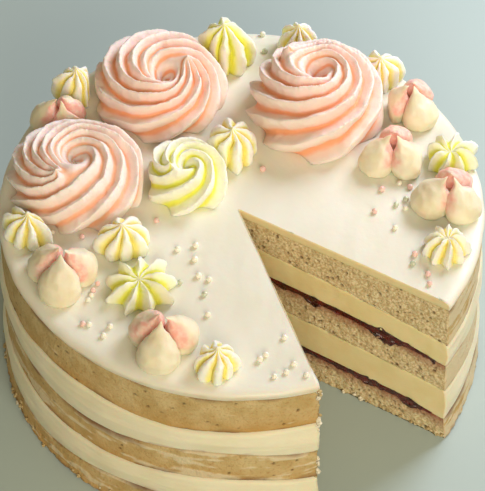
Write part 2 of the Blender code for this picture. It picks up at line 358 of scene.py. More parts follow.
sponge_material = sponge_finish()
sponges = {
    "sponge_bottom": (lambda x, y: 0.0 * x, boundary("bottom_sponge"), (foot_radius, 0.1014, 0.1008), 26,
                      sponge_relief(3.0, (-0.05, 0.00, 0.55), True, True)),
    "sponge_middle": (boundary("lower_cream"), boundary("middle_sponge"), (0.1003, 0.1001, 0.0999), 30,
                      sponge_relief(11.0, (-0.02, 0.16, 0.60), True)),
    "sponge_top": (boundary("upper_cream"), boundary("top_sponge"), (0.0998, 0.0998, 0.0996), 38,
                   sponge_relief(23.0, (-0.40, -0.38, 0.45), False)),
}
for name, (floor, roof, radii, steps, relief) in sponges.items():
    sponge = slab(name + "_crumb", plain_side(floor, roof, radii, steps), (240, 590), relief)
    sponge.data.materials.append(sponge_material)
    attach(sponge, "root")
    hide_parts(name)


# ---------------------------------------------------------------- jam
# Dark raspberry jam, spread thin on the two lower sponges and stopped short of the wall. It is sticky, so at
# the cuts it swells out in drops and pulls down over the crumb.

jam_radius, jam_full_radius = 0.095, 0.080
jam_thickness, jam_edge = 0.0022, 0.0006
jam_pull, jam_swell = 0.0026, 0.0020             # how far its side reaches down over the crumb and up


def jam_roof(name, lift=0.0):
    """Top of the jam on a sponge: full in the middle, thin at its edge."""
    sponge_top = boundary(name, lift)

    def height(x, y):
        share = np.clip((jam_radius - np.hypot(x, y)) / (jam_radius - jam_full_radius), 0, 1)
        return sponge_top(x, y) + jam_edge + (jam_thickness - jam_edge) * share

    return height


def jam_finish():
    finish = Finish("raspberry_jam", IOR=1.42, Coat_Weight=0.4, Coat_Roughness=0.10, Specular_IOR_Level=0.5)
    finish.set("Base Color", finish.mottle(0.0030, 3, (0.035, 0.001, 0.001), (0.13, 0.006, 0.004), 0.35))
    finish.rough(0.002, 2, 0.16, 0.38)
    finish.bump(finish.grain(0.0016, 3), 0.0005)
    return finish.material


def jam_relief(shift):
    def relief(points, face, above, below):
        swollen = noise_at(points * (1, 1, 0.3), 0.0060, shift, 2)
        drops = noise_at(points * (1, 1, 0.3), 0.0024, shift + 13)
        stands_out = 0.00035 + 0.00045 * swollen + 0.00022 * drops
        return np.where(face == CUT, stands_out, 0.0), {}

    return relief


def jam_rows(sponge_name, blob):
    """The side of the jam, swelling up into the cream and pulling down over the sponge by turns. blob is a
    big drop of it: how far from the tip, how far above and below it reaches, and how wide it is."""
    floor, roof = boundary(sponge_name), jam_roof(sponge_name)
    far, up, down, width = blob

    def edge(share):
        def height(x, y):
            place = np.column_stack((np.atleast_1d(x), np.atleast_1d(y), np.zeros(np.size(x))))
            pull = np.clip(noise_at(place, 0.0090, rim_seed, 3) * 1.4 + 0.15, 0.0, 1.3) * jam_pull
            swell = np.clip(noise_at(place, 0.0050, rim_seed + 31, 2), 0.0, 1.0) * jam_swell
            near = np.exp(-((np.hypot(place[:, 0] - tip[0], place[:, 1] - tip[1]) - far) / width) ** 2)
            low = floor(x, y) - pull - down * near - 0.0002
            high = roof(x, y) + swell + up * near
            return low * (1 - share) + high * share
        return height

    rim_seed = 5.0 + far * 100
    sides = [(jam_radius, edge(share)) for share in np.linspace(0, 1, 8)]
    return [(jam_radius, floor), *sides, (jam_radius, roof)]


jam_material = jam_finish()
jams = {
    "jam_lower": ("bottom_sponge", (0.084, 0.0016, 0.0004, 0.003), 2.0),
    "jam_upper": ("middle_sponge", (0.070, 0.0012, 0.0034, 0.006), 8.0),
}
for name, (sponge_name, blob, shift) in jams.items():
    jam = slab(name + "_drops", jam_rows(sponge_name, blob), (200, 120), jam_relief(shift))
    jam.data.materials.append(jam_material)
    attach(jam, "root")
    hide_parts(name)


# ---------------------------------------------------------------- cream fillings
# Whipped vanilla buttercream, spread about 15 mm thick over the jam. It stands a little proud of the sponge
# at the wall, where a palette knife dragged it round in fine ridges, and it is sheared smooth at the cuts.

cream_meets_sponge = 0.0968


def cream_floor(sponge_name):
    """The cream lies on the jam and closes over its edge onto the sponge."""
    on_sponge, on_jam = boundary(sponge_name, -0.0001), jam_roof(sponge_name, -0.0003)

    def height(x, y):
        share = np.clip((cream_meets_sponge - np.hypot(x, y)) / (cream_meets_sponge - jam_radius), 0, 1)
        return on_sponge(x, y) * (1 - share) + on_jam(x, y) * share

    return height


def cream_relief(shift):
    def relief(points, face, above, below):
        edge = np.minimum(above, below)
        dragged = noise_at(points, (0.030, 0.030, 0.0016), shift, 2)
        swell = noise_at(points, (0.024, 0.024, 0.010), shift + 7, 2)
        wall = 0.0003 + 0.00045 * swell + 0.00018 * dragged - 0.0016 * np.clip(1 - edge / 0.0016, 0, 1) ** 2
        sheared = noise_at(points, (0.004, 0.004, 0.018), shift + 15)
        cut = 0.00010 + 0.00014 * sheared + 0.00016 * noise_at(points, 0.012, shift + 3, 2)
        cut -= 0.0003 * np.clip(1 - edge / 0.0008, 0, 1) ** 2
        patch = smooth_step(noise_at(points, 0.016, shift + 23, 3), -0.3, 0.4)
        stain = np.clip(1 - above / (0.0008 + 0.0024 * patch), 0, 1) * patch
        values = {"inside": np.where(face == CUT, 1.0, 0.0), "stain": np.where(face == WALL, stain, 0.0)}
        return np.where(face == WALL, wall, np.where(face == CUT, cut, 0.0)), values

    return relief


def cream_finish():
    finish = Finish("vanilla_buttercream", Subsurface_Weight=0.35, Subsurface_Scale=0.003,
                    Specular_IOR_Level=0.4)
    colour = finish.mottle(0.016, 3, (0.81, 0.73, 0.51), (0.85, 0.78, 0.58))
    inside = finish.mottle(0.010, 3, (0.80, 0.66, 0.34), (0.84, 0.71, 0.40))
    colour = finish.tint(colour, "stain", 0.8, (0.36, 0.12, 0.10))
    finish.set("Base Color", finish.mix(finish.value("inside"), colour, inside))
    finish.rough(0.004, 3, 0.42, 0.60)
    finish.bump(finish.grain(0.0022, 3, (1, 1, 3)), 0.00018)
    return finish.material


cream_material = cream_finish()
creams = {
    "cream_lower": ("bottom_sponge", "lower_cream", (0.1008, 0.1014, 0.1003), 4.0),
    "cream_upper": ("middle_sponge", "upper_cream", (0.0999, 0.1009, 0.0998), 9.0),
}
for name, (sponge_name, top_name, radii, shift) in creams.items():
    rows = plain_side(cream_floor(sponge_name), boundary(top_name, 0.0001), radii, 28)
    cream = slab(name + "_spread", rows, (150, 520), cream_relief(shift))
    cream.data.materials.append(cream_material)
    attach(cream, "root")
    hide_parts(name)


# ---------------------------------------------------------------- icing
# A thin smooth coat of ivory buttercream over the top, levelled with a long palette knife. Its edge is soft
# and rounded where it was pushed over the rim, and the sponge shows faintly through it there.

icing_top = icing_high.z
icing_edge_radius, icing_edge_depth = 0.0045, 0.0024


def icing_rows():
    """The side of the icing: up from the sponge and over its rounded rim."""
    floor = boundary("top_sponge", -0.0001)
    top = lambda x, y: icing_top + 0 * x
    shoulder = lambda x, y: icing_top - icing_edge_depth + 0 * x
    rows = []
    for share in np.linspace(0, 1, 6):
        rows.append((cake_radius - 0.0004 * (1 - share), between(floor, shoulder, share)))
    for turn in np.linspace(0, math.pi / 2, 9)[1:]:
        radius = cake_radius - icing_edge_radius * (1 - math.cos(turn))
        rows.append((radius, between(shoulder, top, math.sin(turn))))
    return rows


def icing_relief(points, face, above, below):
    flow = noise_at(points, 0.030, 31.0, 2)
    knife = noise_at(points, (0.010, 0.034, 0.02), 47.0, 2)
    out = np.hypot(points[:, 0], points[:, 1])
    lip = 0.00035 * np.exp(-((out - 0.0935) / 0.0022) ** 2)
    top = 0.00030 * flow + 0.00016 * knife + lip - 0.0003
    side = 0.00035 * noise_at(points, (0.014, 0.014, 0.006), 17.0, 2) + 0.0002
    cut = 0.00012 * noise_at(points, 0.006, 5.0, 2) - 0.0004 * np.clip(1 - below / 0.0006, 0, 1) ** 2
    stands_out = np.select([face == ROOF, face == WALL, face == CUT], [top, side, cut], 0.0)
    thin = np.where(face == WALL, smooth_step(below, 0.0004, 0.0030), 0.0)
    return stands_out, {"inside": np.where(face == CUT, 1.0, 0.0), "thin": thin}


def icing_finish():
    finish = Finish("ivory_icing", Subsurface_Weight=0.30, Subsurface_Scale=0.003, Specular_IOR_Level=0.45,
                    Coat_Weight=0.12, Coat_Roughness=0.35)
    colour = finish.mottle(0.030, 3, (0.82, 0.79, 0.67), (0.85, 0.83, 0.74))
    colour = finish.mix(finish.value("inside"), colour, (0.80, 0.67, 0.38))
    patchy = finish.ramp(finish.grain(0.010, 3), 0.3, 0.7, 0.25, 0.6)
    showing = finish.maths("MULTIPLY", finish.value("thin"), patchy)
    finish.set("Base Color", finish.mix(showing, colour, (0.66, 0.47, 0.22)))
    finish.rough(0.012, 3, 0.36, 0.52)
    finish.bump(finish.grain(0.0060, 3), 0.00020)
    return finish.material


icing = slab("icing_coat", icing_rows(), (150, 520), icing_relief,
             roof_rings=tuple(np.linspace(1, 0, 60)[1:-1] ** 0.8))
icing.data.materials.append(icing_finish())
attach(icing, "root")
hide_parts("icing")


# ---------------------------------------------------------------- piped swirls, kisses and blossoms
# Stiff buttercream pressed through a star nozzle. Each tooth leaves a ridge with a fold beside it: sharp
# ridges on the swirls, rounder lobes on the kisses. The crests are painted paler as a highlight and the folds
# deeper as shade. On a swirl they wind out from the tail, where the nozzle was pulled away.

press_depth = 0.0040                             # how far in from a neighbour a soft piece gives way
touching_gap = 0.0003
sunk = 0.0003                                    # how far a piece sinks into the icing


class Shape:
    """A Geometry Nodes tree with named inputs, and the sums that its shape is worked out with."""

    def __init__(self, name, whole=(), numbers=(), start=()):
        self.tree = bpy.data.node_groups.new(name, "GeometryNodeTree")
        self.tree.interface.new_socket("Geometry", in_out="OUTPUT", socket_type="NodeSocketGeometry")
        kinds = {"Geometry": start, "Material": ("Finish",), "Int": whole, "Float": numbers}
        for kind, names in kinds.items():
            for socket in names:
                self.tree.interface.new_socket(socket, in_out="INPUT", socket_type="NodeSocket" + kind)
        self.given = self.tree.nodes.new("NodeGroupInput").outputs

    def maths(self, operation, *values, clamp=False):
        return add_node(self.tree, "ShaderNodeMath", values, operation=operation, use_clamp=clamp).outputs[0]

    def vector(self, operation, *values):
        return add_node(self.tree, "ShaderNodeVectorMath", values, operation=operation).outputs[0]

    def together(self, operation, first, *others):
        for other in others:
            first = self.maths(operation, first, other)
        return first

    def times(self, *values):
        return self.together("MULTIPLY", *values)

    def plus(self, *values):
        return self.together("ADD", *values)

    def minus(self, first, second):
        return self.maths("SUBTRACT", first, second)

    def over(self, first, second):
        return self.maths("DIVIDE", first, second)

    def bell(self, distance, width):
        """1 at no distance and falling away over this width."""
        share = self.over(distance, width)
        return self.maths("EXPONENT", self.times(share, share, -1.0))

    def grid(self, columns, rows):
        """A sheet of vertices and the place of each across and down it, 0 to 1."""
        mesh = add_node(self.tree, "GeometryNodeMeshGrid", (1.0, 1.0, self.plus(columns, 1), rows)).outputs[0]
        position = self.tree.nodes.new("GeometryNodeInputPosition").outputs[0]
        place = add_node(self.tree, "ShaderNodeSeparateXYZ", (position,))
        return mesh, self.plus(place.outputs[0], 0.5), self.plus(place.outputs[1], 0.5)

    def dome(self, columns):
        """A sheet laid over a dome from its pole to its rim, with a last row that closes the foot. Gives the
        mesh, the shares across it and down to the rim, whether a row stands, and how far out and up it is.
        """
        given, fullness = self.given, self.given["Fullness"]
        mesh, across, down = self.grid(columns, given["Rows"])
        last_row = self.over(self.minus(given["Rows"], 2), self.minus(given["Rows"], 1))
        to_rim = self.maths("DIVIDE", down, last_row, clamp=True)
        standing = self.maths("LESS_THAN", down, self.plus(last_row, 0.0005))
        turned_out = self.maths("SINE", self.times(to_rim, math.pi / 2))
        out = self.maths("POWER", turned_out, self.over(2.0, fullness))
        up = self.maths("MAXIMUM", self.minus(1.0, self.maths("POWER", out, fullness)), 0.0)
        return mesh, across, to_rim, standing, out, self.maths("POWER", up, self.over(1.0, fullness))

    def wander(self, spot, size, amount):
        """Moves each spot a little, with bumps this far apart."""
        moved = self.vector("ADD", spot, self.times(self.given["Seed"], 0.37))
        cloud = add_node(self.tree, "ShaderNodeTexNoise", {"Vector": moved, "Scale": 1 / size, "Detail": 2.0})
        shift = self.vector("SUBTRACT", cloud.outputs[1], (0.5, 0.5, 0.5))
        feeds = {0: shift, "Scale": amount}
        shift = add_node(self.tree, "ShaderNodeVectorMath", feeds, operation="SCALE").outputs[0]
        return self.vector("ADD", spot, shift)

    def piped(self, mesh, cylinder_spot, fold, fold_value, held, bumps):
        """Moves the sheet to its spots, given as distance, angle and height, and closes it. It is pushed
        about gently all over, and torn more finely along the crests; bumps are how far apart both lie."""
        reach, angle, z = cylinder_spot
        x, y = (self.times(reach, self.maths(side, angle)) for side in ("COSINE", "SINE"))
        spot = add_node(self.tree, "ShaderNodeCombineXYZ", (x, y, z)).outputs[0]
        spot = self.wander(spot, bumps[0], self.times(held, 0.0030))
        crest = self.maths("POWER", self.minus(1.0, fold), 3.0)
        spot = self.wander(spot, bumps[1], self.times(held, self.given["Ragged"], crest))
        feeds = {"Geometry": mesh, "Name": "fold", "Value": fold_value}
        mesh = add_node(self.tree, "GeometryNodeStoreNamedAttribute", feeds, data_type="FLOAT",
                        domain="POINT").outputs[0]
        mesh = add_node(self.tree, "GeometryNodeFlipFaces", (mesh,)).outputs[0]
        joined = ("MergeByDistance", {"Distance": 0.000002})
        return self.close(mesh, ("SetPosition", {"Position": spot}), joined)

    def close(self, mesh, *steps):
        """The last nodes of the tree: these steps, then whole and smooth with its material."""
        for kind, feeds in (*steps, ("RealizeInstances", {}), ("SetShadeSmooth", {"Shade Smooth": True}),
                            ("SetMaterial", {"Material": self.given["Finish"]})):
            mesh = add_node(self.tree, "GeometryNode" + kind, {"Geometry": mesh} | feeds).outputs[0]
        add_node(self.tree, "NodeGroupOutput", (mesh,))
        return self.tree


def piped_kiss():
    """One piece pressed straight down and let go: its ridges run from the peak to the foot."""
    shape = Shape("piped_kiss", ("Ridges", "Columns", "Rows", "Seed"),
                  ("Radius", "Height", "Turn", "Winding", "Fullness", "Fold Depth", "Fold Roundness",
                   "Fold Drop", "Unevenness", "Ragged", "Tuck", "Peak", "Peak Width", "Pit Depth",
                   "Pit Width"))
    given, maths, times, plus = shape.given, shape.maths, shape.times, shape.plus
    minus, over = shape.minus, shape.over
    mesh, across, _, standing, out, dome = shape.dome(times(given["Ridges"], given["Columns"]))

    # From ridge to ridge, each of its own length: sharp crests and scooped folds, or lobes and sharp folds
    ridge = plus(times(across, given["Ridges"]), 0.0001)
    number, share = maths("FLOOR", ridge), maths("FRACT", ridge)
    lengths = []
    for step in (0, 1):
        which = maths("MODULO", plus(number, step), given["Ridges"])
        feeds = {"ID": which, "Seed": given["Seed"]}
        luck = add_node(shape.tree, "FunctionNodeRandomValue", feeds, data_type="FLOAT").outputs[1]
        lengths.append(plus(1.0, times(given["Unevenness"], minus(times(luck, 2), 1))))
    length = plus(times(lengths[0], minus(1, share)), times(lengths[1], share))
    scooped = maths("POWER", maths("MAXIMUM", maths("SINE", times(share, math.pi)), 0.0), 0.75)
    lobed = minus(1.0, maths("POWER", maths("ABSOLUTE", maths("COSINE", times(share, math.pi))), 0.75))
    fold = plus(times(scooped, minus(1.0, given["Fold Roundness"])), times(lobed, given["Fold Roundness"]))
    fold = times(fold, maths("MINIMUM", times(out, 2.5), 1.0))
    drawn_in = times(given["Fold Depth"], fold)

    angle = plus(times(across, 2 * math.pi), given["Turn"], times(given["Winding"], minus(1.0, out)))
    tuck = times(minus(1.0, times(given["Tuck"], maths("EXPONENT", times(dome, -7.0)))), standing)
    reach = times(given["Radius"], out, length, minus(1.0, drawn_in), tuck)
    pit = times(given["Pit Depth"], shape.bell(times(out, given["Radius"]), given["Pit Width"]))
    peak = times(given["Peak"], maths("EXPONENT", over(times(out, -1.0), given["Peak Width"])))
    rise = times(given["Height"], dome, minus(1.0, times(drawn_in, given["Fold Drop"])))
    z = maths("MAXIMUM", plus(minus(rise, times(pit, dome)), peak), 0.0)
    held = times(standing, maths("MINIMUM", times(dome, 4.0), 1.0))
    return shape.piped(mesh, (reach, angle, z), fold, scooped, held, (0.0070, 0.0014))


def piped_swirl():
    """One piece wound round its eye: ridges fan out from the tail, sweep round the eye and run to the rim."""
    shape = Shape("piped_swirl", ("Around", "Rows", "Seed"),
                  ("Radius", "Height", "Fullness", "Turn", "Tail X", "Tail Y", "Tail Height", "Tail Ridges",
                   "Eye X", "Eye Y", "Eye Depth", "Eye Width", "Eye Softness", "Eye Ridges", "Sweep",
                   "Fold Depth", "Fold Limit", "Skew", "Ragged", "Tuck"))
    given, maths, times, plus = shape.given, shape.maths, shape.times, shape.plus
    minus, over = shape.minus, shape.over
    mesh, across, to_rim, standing, out, dome = shape.dome(given["Around"])
    angle = times(across, 2 * math.pi)
    along = plus(times(given["Radius"], out), times(given["Height"], minus(1.0, dome), 0.8))
    x, y = times(along, maths("COSINE", angle)), times(along, maths("SINE", angle))

    # Angle and distance of each spot from the tail and from the eye, measured along the surface
    views = []
    for name in ("Tail", "Eye"):
        dx, dy = minus(x, given[name + " X"]), minus(y, given[name + " Y"])
        distance = maths("SQRT", plus(times(dx, dx), times(dy, dy), 1e-8))
        views.append((maths("ARCTAN2", dy, dx), distance))
    (tail_angle, from_tail), (eye_angle, from_eye) = views

    # Which ridge a spot lies on, how wide the ridges are there, and how deep the fold is
    softened = plus(from_eye, given["Eye Softness"])
    swept = times(given["Sweep"], maths("LOGARITHM", over(softened, given["Radius"]), math.e))
    ridge = plus(times(given["Tail Ridges"], tail_angle), times(given["Eye Ridges"], eye_angle), swept)
    ridge = plus(over(ridge, 2 * math.pi), given["Turn"])
    share = maths("POWER", maths("FRACT", plus(ridge, 200.0)), given["Skew"])
    fold = maths("POWER", maths("MAXIMUM", maths("SINE", times(share, math.pi)), 0.0), 0.85)
    crowding = plus(over(given["Tail Ridges"], from_tail), over(given["Eye Ridges"], from_eye),
                    over(given["Sweep"], softened))
    width = over(2 * math.pi, crowding)
    depth = maths("MINIMUM", times(width, given["Fold Depth"]), given["Fold Limit"])

    # The body: a full dome that dips into the eye and is drawn up at the tail
    dip = times(given["Eye Depth"], shape.bell(from_eye, given["Eye Width"]))
    drawn_up = times(given["Tail Height"], maths("EXPONENT", over(from_tail, -0.0022)))
    z = plus(times(given["Height"], dome), times(dome, minus(drawn_up, dip)))
    lean_out = times(maths("POWER", out, minus(given["Fullness"], 1.0)), given["Height"])
    lean_up = times(maths("POWER", dome, minus(given["Fullness"], 1.0)), given["Radius"])
    length = maths("SQRT", plus(times(lean_out, lean_out), times(lean_up, lean_up), 1e-10))
    inward = over(times(depth, fold), length)
    tuck = minus(1.0, times(given["Tuck"], maths("EXPONENT", times(dome, -7.0))))
    reach = times(minus(times(given["Radius"], out), times(inward, lean_out)), tuck, standing)
    z = times(maths("MAXIMUM", minus(z, times(inward, lean_up)), 0.0), maths("LESS_THAN", to_rim, 0.9999))
    held = times(standing, maths("MINIMUM", times(dome, 4.0), 1.0))
    return shape.piped(mesh, (reach, angle, z), fold, fold, held, (0.011, 0.0016))


def from_nodes(name, tree, inputs, start=None):
    """Runs a Geometry Nodes tree with these inputs and keeps the result as a plain mesh object."""
    obj = bpy.data.objects.new(name, start or bpy.data.meshes.new(name))
    bpy.context.scene.collection.objects.link(obj)
    modifier = obj.modifiers.new("made", "NODES")
    modifier.node_group = tree
    for socket in tree.interface.items_tree:
        if socket.in_out == "INPUT" and socket.name in inputs:
            modifier[socket.identifier] = inputs[socket.name]
    made = obj.evaluated_get(bpy.context.evaluated_depsgraph_get())
    obj.data = bpy.data.meshes.new_from_object(made)
    obj.data.name = name
    obj.modifiers.clear()
    return obj


def piped_finish(name, crest, body, fold, glow=(0.35, 0.0018), glow_reach=(1.0, 0.25, 0.12)):
    """Coloured buttercream in its own colour on the flanks, with a painted highlight that makes the crests
    whitish and painted shade that makes the folds deepest. glow is how much light passes inside it and how
    far, and glow_reach how far each colour of it goes."""
    finish = Finish(name, Subsurface_Weight=glow[0], Subsurface_Scale=glow[1], Subsurface_Radius=glow_reach,
                    Specular_IOR_Level=0.4)
    # Painted highlight and shade: crest colour where the fold value is low, flank colour between, fold colour
    # where it is high
    deep = finish.maths("ADD", finish.value("fold"), finish.maths("MULTIPLY", finish.grain(0.004, 3), 0.16))
    colour = finish.mix(finish.ramp(deep, 0.15, 0.95), crest, body)
    colour = finish.mix(finish.ramp(deep, 0.76, 1.10), colour, fold)
    finish.set("Base Color", colour)
    finish.rough(0.0025, 3, 0.40, 0.60)
    finish.bump(finish.grain(0.0011, 3), 0.00012)
    return finish.material


def contacts(place, radius):
    """Faces where a piece is pressed against its neighbours: direction and distance from its centre."""
    found = []
    for other_place, other_radius in ((row[2], row[3]) for row in piped_pieces + tulips):
        apart = math.dist(place, other_place)
        if apart < 1e-6 or apart > (radius + other_radius) * 1.06:
            continue
        along = np.subtract(other_place, place) / apart
        face = (apart ** 2 + radius ** 2 - other_radius ** 2) / (2 * apart)
        found.append((along, face - touching_gap / 2))
    return found


def spread_out(obj, radius):
    """Widens a piece until its ridges reach out to its radius, as the tuck at its foot drew them in."""
    points = np.array([vertex.co for vertex in obj.data.vertices])
    reach = np.hypot(points[:, 0], points[:, 1])
    eighth = np.floor(np.arctan2(points[:, 1], points[:, 0]) / (math.pi / 4))
    widest = np.mean([reach[eighth == number].max() for number in range(-4, 4)])
    points[:, :2] *= radius / widest
    obj.data.vertices.foreach_set("co", points.astype(np.float32).ravel())


def settle(obj, place, radius):
    """Moves a finished piece onto the icing, pressed back from its neighbours."""
    count = len(obj.data.vertices)
    points = np.empty(count * 3, np.float32)
    obj.data.vertices.foreach_get("co", points)
    points = points.reshape(-1, 3).astype(float)
    for along, face in contacts(place, radius):
        reach = points[:, :2] @ along
        start = face - press_depth
        over = np.maximum(reach - start, 0.0)
        held = press_depth * (1 - np.exp(-over / press_depth))
        points[:, :2] += np.outer(held - over, along)
    points += (*place, icing_top - sunk)
    obj.data.vertices.foreach_set("co", points.astype(np.float32).ravel())
    obj.data.update()


# Each colour: a painted highlight for the crests, the buttercream's own colour for the flanks, painted shade
# for the folds
finishes = {
    "pink": piped_finish("pink_piping", (0.94, 0.79, 0.73), (0.94, 0.68, 0.58), (0.96, 0.42, 0.22)),
    "green": piped_finish("green_piping", (0.94, 0.94, 0.80), (0.92, 0.92, 0.62), (0.88, 0.87, 0.10),
                          (0.50, 0.0026), (1.0, 0.8, 0.2)),
    "yellow": piped_finish("yellow_piping", (0.95, 0.93, 0.86), (0.96, 0.93, 0.78), (0.98, 0.84, 0.24),
                           (0.50, 0.0026), (1.0, 0.7, 0.2)),
    "rose_left": piped_finish("pale_pink_piping", (0.95, 0.83, 0.78), (0.94, 0.74, 0.66), (0.96, 0.49, 0.30)),
}

# What each kind of piece has in common
forms = {
    "swirl": {"Around": 340, "Rows": 112, "Fullness": 2.5, "Fold Depth": 0.72, "Fold Limit": 0.0044,
              "Skew": 2.0, "Ragged": 0.0009, "Tuck": 0.10, "Tail Height": 0.0032, "Tail Ridges": 4,
              "Eye Ridges": 4, "Sweep": 23.0, "Eye Width": 0.0060, "Eye Softness": 0.0080},
    "kiss": {"Ridges": 8, "Columns": 16, "Rows": 48, "Winding": math.radians(22), "Fullness": 2.4,
             "Fold Depth": 0.32, "Fold Roundness": 1.0, "Fold Drop": 0.70, "Unevenness": 0.18,
             "Ragged": 0.0006, "Tuck": 0.12, "Peak": 0.0030, "Peak Width": 0.10, "Pit Depth": 0.0,
             "Pit Width": 0.003},
    "blossom": {"Ridges": 8, "Columns": 16, "Rows": 48, "Winding": math.radians(10), "Fullness": 2.0,
                "Fold Depth": 0.32, "Fold Roundness": 0.15, "Fold Drop": 0.9, "Unevenness": 0.07,
                "Ragged": 0.0005, "Tuck": 0.10, "Peak": 0.0, "Peak Width": 0.09},
}

# Node, form, place, radius, height, colour, and what is its own
piped_pieces = [
    ("rose_back_left", "swirl", (-0.0414, 0.0570), 0.0296, 0.0228, "pink",
     {"Tail X": 0.0130, "Tail Y": 0.0020, "Eye X": 0.0030, "Eye Y": -0.0030, "Eye Depth": 0.0100,
      "Turn": 0.2}),
    ("rose_back_right", "swirl", (0.0265, 0.0528), 0.0304, 0.0295, "pink",
     {"Tail X": -0.0150, "Tail Y": 0.0135, "Eye X": -0.0010, "Eye Y": 0.0050, "Eye Depth": 0.0140,
      "Turn": 0.5, "Tail Height": 0.0035, "Tail Ridges": 3, "Eye Ridges": 4, "Sweep": 25.0,
      "Fold Limit": 0.0052}),
    ("rose_left", "swirl", (-0.0681, 0.0033), 0.0302, 0.0205, "pink",
     {"Tail X": -0.0070, "Tail Y": -0.0120, "Eye X": -0.0015, "Eye Y": 0.0025, "Eye Depth": 0.0100,
      "Turn": 0.8, "Tail Ridges": 5, "Eye Ridges": 4, "Sweep": 25.0}),
    ("swirl_green", "swirl", (-0.0242, 0.0078), 0.0195, 0.0178, "green",
     {"Tail X": -0.0060, "Tail Y": -0.0060, "Eye X": 0.0010, "Eye Y": -0.0010, "Eye Depth": 0.0070,
      "Eye Width": 0.0035, "Turn": 0.1, "Tail Ridges": 3, "Eye Ridges": 3, "Sweep": 14.0,
      "Eye Softness": 0.0060}),
    ("kiss_green", "kiss", (-0.0160, 0.0815), 0.0137, 0.0200, "green", {"Turn": 0}),
    ("blossom_green_front", "blossom", (-0.0355, -0.0507), 0.0156, 0.0110, "green",
     {"Turn": 15, "Ridges": 9, "Pit Depth": 0.0045, "Pit Width": 0.0050}),
    ("blossom_green_right", "blossom", (0.0840, 0.0322), 0.0128, 0.0115, "green",
     {"Turn": 30, "Pit Depth": 0.0040, "Pit Width": 0.0040}),
    ("kiss_yellow_1", "kiss", (-0.0755, 0.0537), 0.0102, 0.0155, "yellow", {"Turn": 5}),
    ("kiss_yellow_2", "kiss", (-0.0065, 0.0278), 0.0125, 0.0140, "yellow", {"Turn": 12}),
    ("kiss_yellow_3", "kiss", (-0.0850, -0.0263), 0.0109, 0.0115, "yellow", {"Turn": 24}),
    ("kiss_yellow_4", "kiss", (-0.0455, -0.0285), 0.0115, 0.0120, "yellow", {"Turn": 18}),
    ("kiss_yellow_5", "kiss", (-0.0003, -0.0875), 0.0100, 0.0110, "yellow", {"Turn": 8}),
    ("blossom_yellow", "blossom", (0.0853, -0.0173), 0.0104, 0.0118, "yellow",
     {"Turn": 0, "Ridges": 9, "Fold Roundness": 0.5, "Pit Depth": 0.0030, "Pit Width": 0.0026}),
    ("kiss_yellow_6", "kiss", (0.0515, 0.0755), 0.0100, 0.0140, "yellow", {"Turn": 20}),
    ("kiss_yellow_7", "kiss", (0.0150, 0.0903), 0.0086, 0.0140, "yellow", {"Turn": 10}),
]

# Node, how it is turned, place, radius and height of each tulip, which the pieces above press against
tulips = [
    ("tulip_1", 60, (-0.0800, 0.0355), 0.0127, 0.0156),
    ("tulip_2", -90, (-0.0672, -0.0490), 0.0153, 0.0178),
    ("tulip_3", -95, (-0.0228, -0.0790), 0.0152, 0.0178),
    ("tulip_4", 90, (0.0603, 0.0308), 0.0149, 0.0150),
    ("tulip_5", 80, (0.0849, 0.0090), 0.0148, 0.0164),
    ("tulip_6", 70, (0.0655, 0.0590), 0.0130, 0.0162),
]

swirl_tree, kiss_tree = piped_swirl(), piped_kiss()
for number, (node, form, place, radius, height, hue, own) in enumerate(piped_pieces):
    inputs = forms[form] | own | {"Radius": radius, "Height": height, "Seed": number,
                                  "Finish": finishes.get(node, finishes[hue])}
    colour = hue + "_buttercream"
    if form != "swirl":
        inputs["Turn"] = math.radians(inputs["Turn"])
    piped = from_nodes(node + "_piping", swirl_tree if form == "swirl" else kiss_tree, inputs)
    spread_out(piped, radius)
    settle(piped, place, radius)
    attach(piped, "root")
    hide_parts(node)


# ---------------------------------------------------------------- tulips
# Each is three fat drops of cream-coloured buttercream, pressed side by side from a round nozzle and drawn to
# thin points that lean together. Pink was striped down the bag and shows on their inner faces.

petal_columns, petal_rows = 36, 34
# Shares of a petal's height, and how thick it is there as a share of its plumpest
petal_thickness = (0, 0.10, 0.28, 0.50, 0.70, 0.86, 0.95, 1), (0.84, 0.97, 1, 0.84, 0.50, 0.20, 0.09, 0.03)


def petal(along, radius, height, plump, blush):
    """One drop: points and blush. It stands a little way out and its point leans back to the middle."""
    share = np.linspace(0, 1, petal_rows)[:, None]
    start, bend, end = 0.52 * radius, 0.66 * radius, 0.10 * radius
    spine = start * (1 - share) ** 2 + 2 * bend * share * (1 - share) + end * share ** 2
    z = height * (share * 1.04) ** 0.95
    thick = np.interp(share, *petal_thickness)
    turn = np.linspace(0, 2 * math.pi, petal_columns, endpoint=False)[None, :]
    wide = 0.50 * radius * plump * thick
    forward = spine + wide * np.cos(turn) * 0.96
    sideways = wide * np.sin(turn) * 1.10
    tangent = np.array((-along[1], along[0]))
    x = forward * along[0] + sideways * tangent[0]
    y = forward * along[1] + sideways * tangent[1]
    points = np.column_stack((x.ravel(), y.ravel(), np.broadcast_to(z, x.shape).ravel()))
    inner = np.clip(0.45 - 0.8 * np.cos(turn) + max(blush - 1, 0) * 0.9, 0, 1)
    return points, (inner * smooth_step(share, 0.05, 0.50) * blush).ravel()


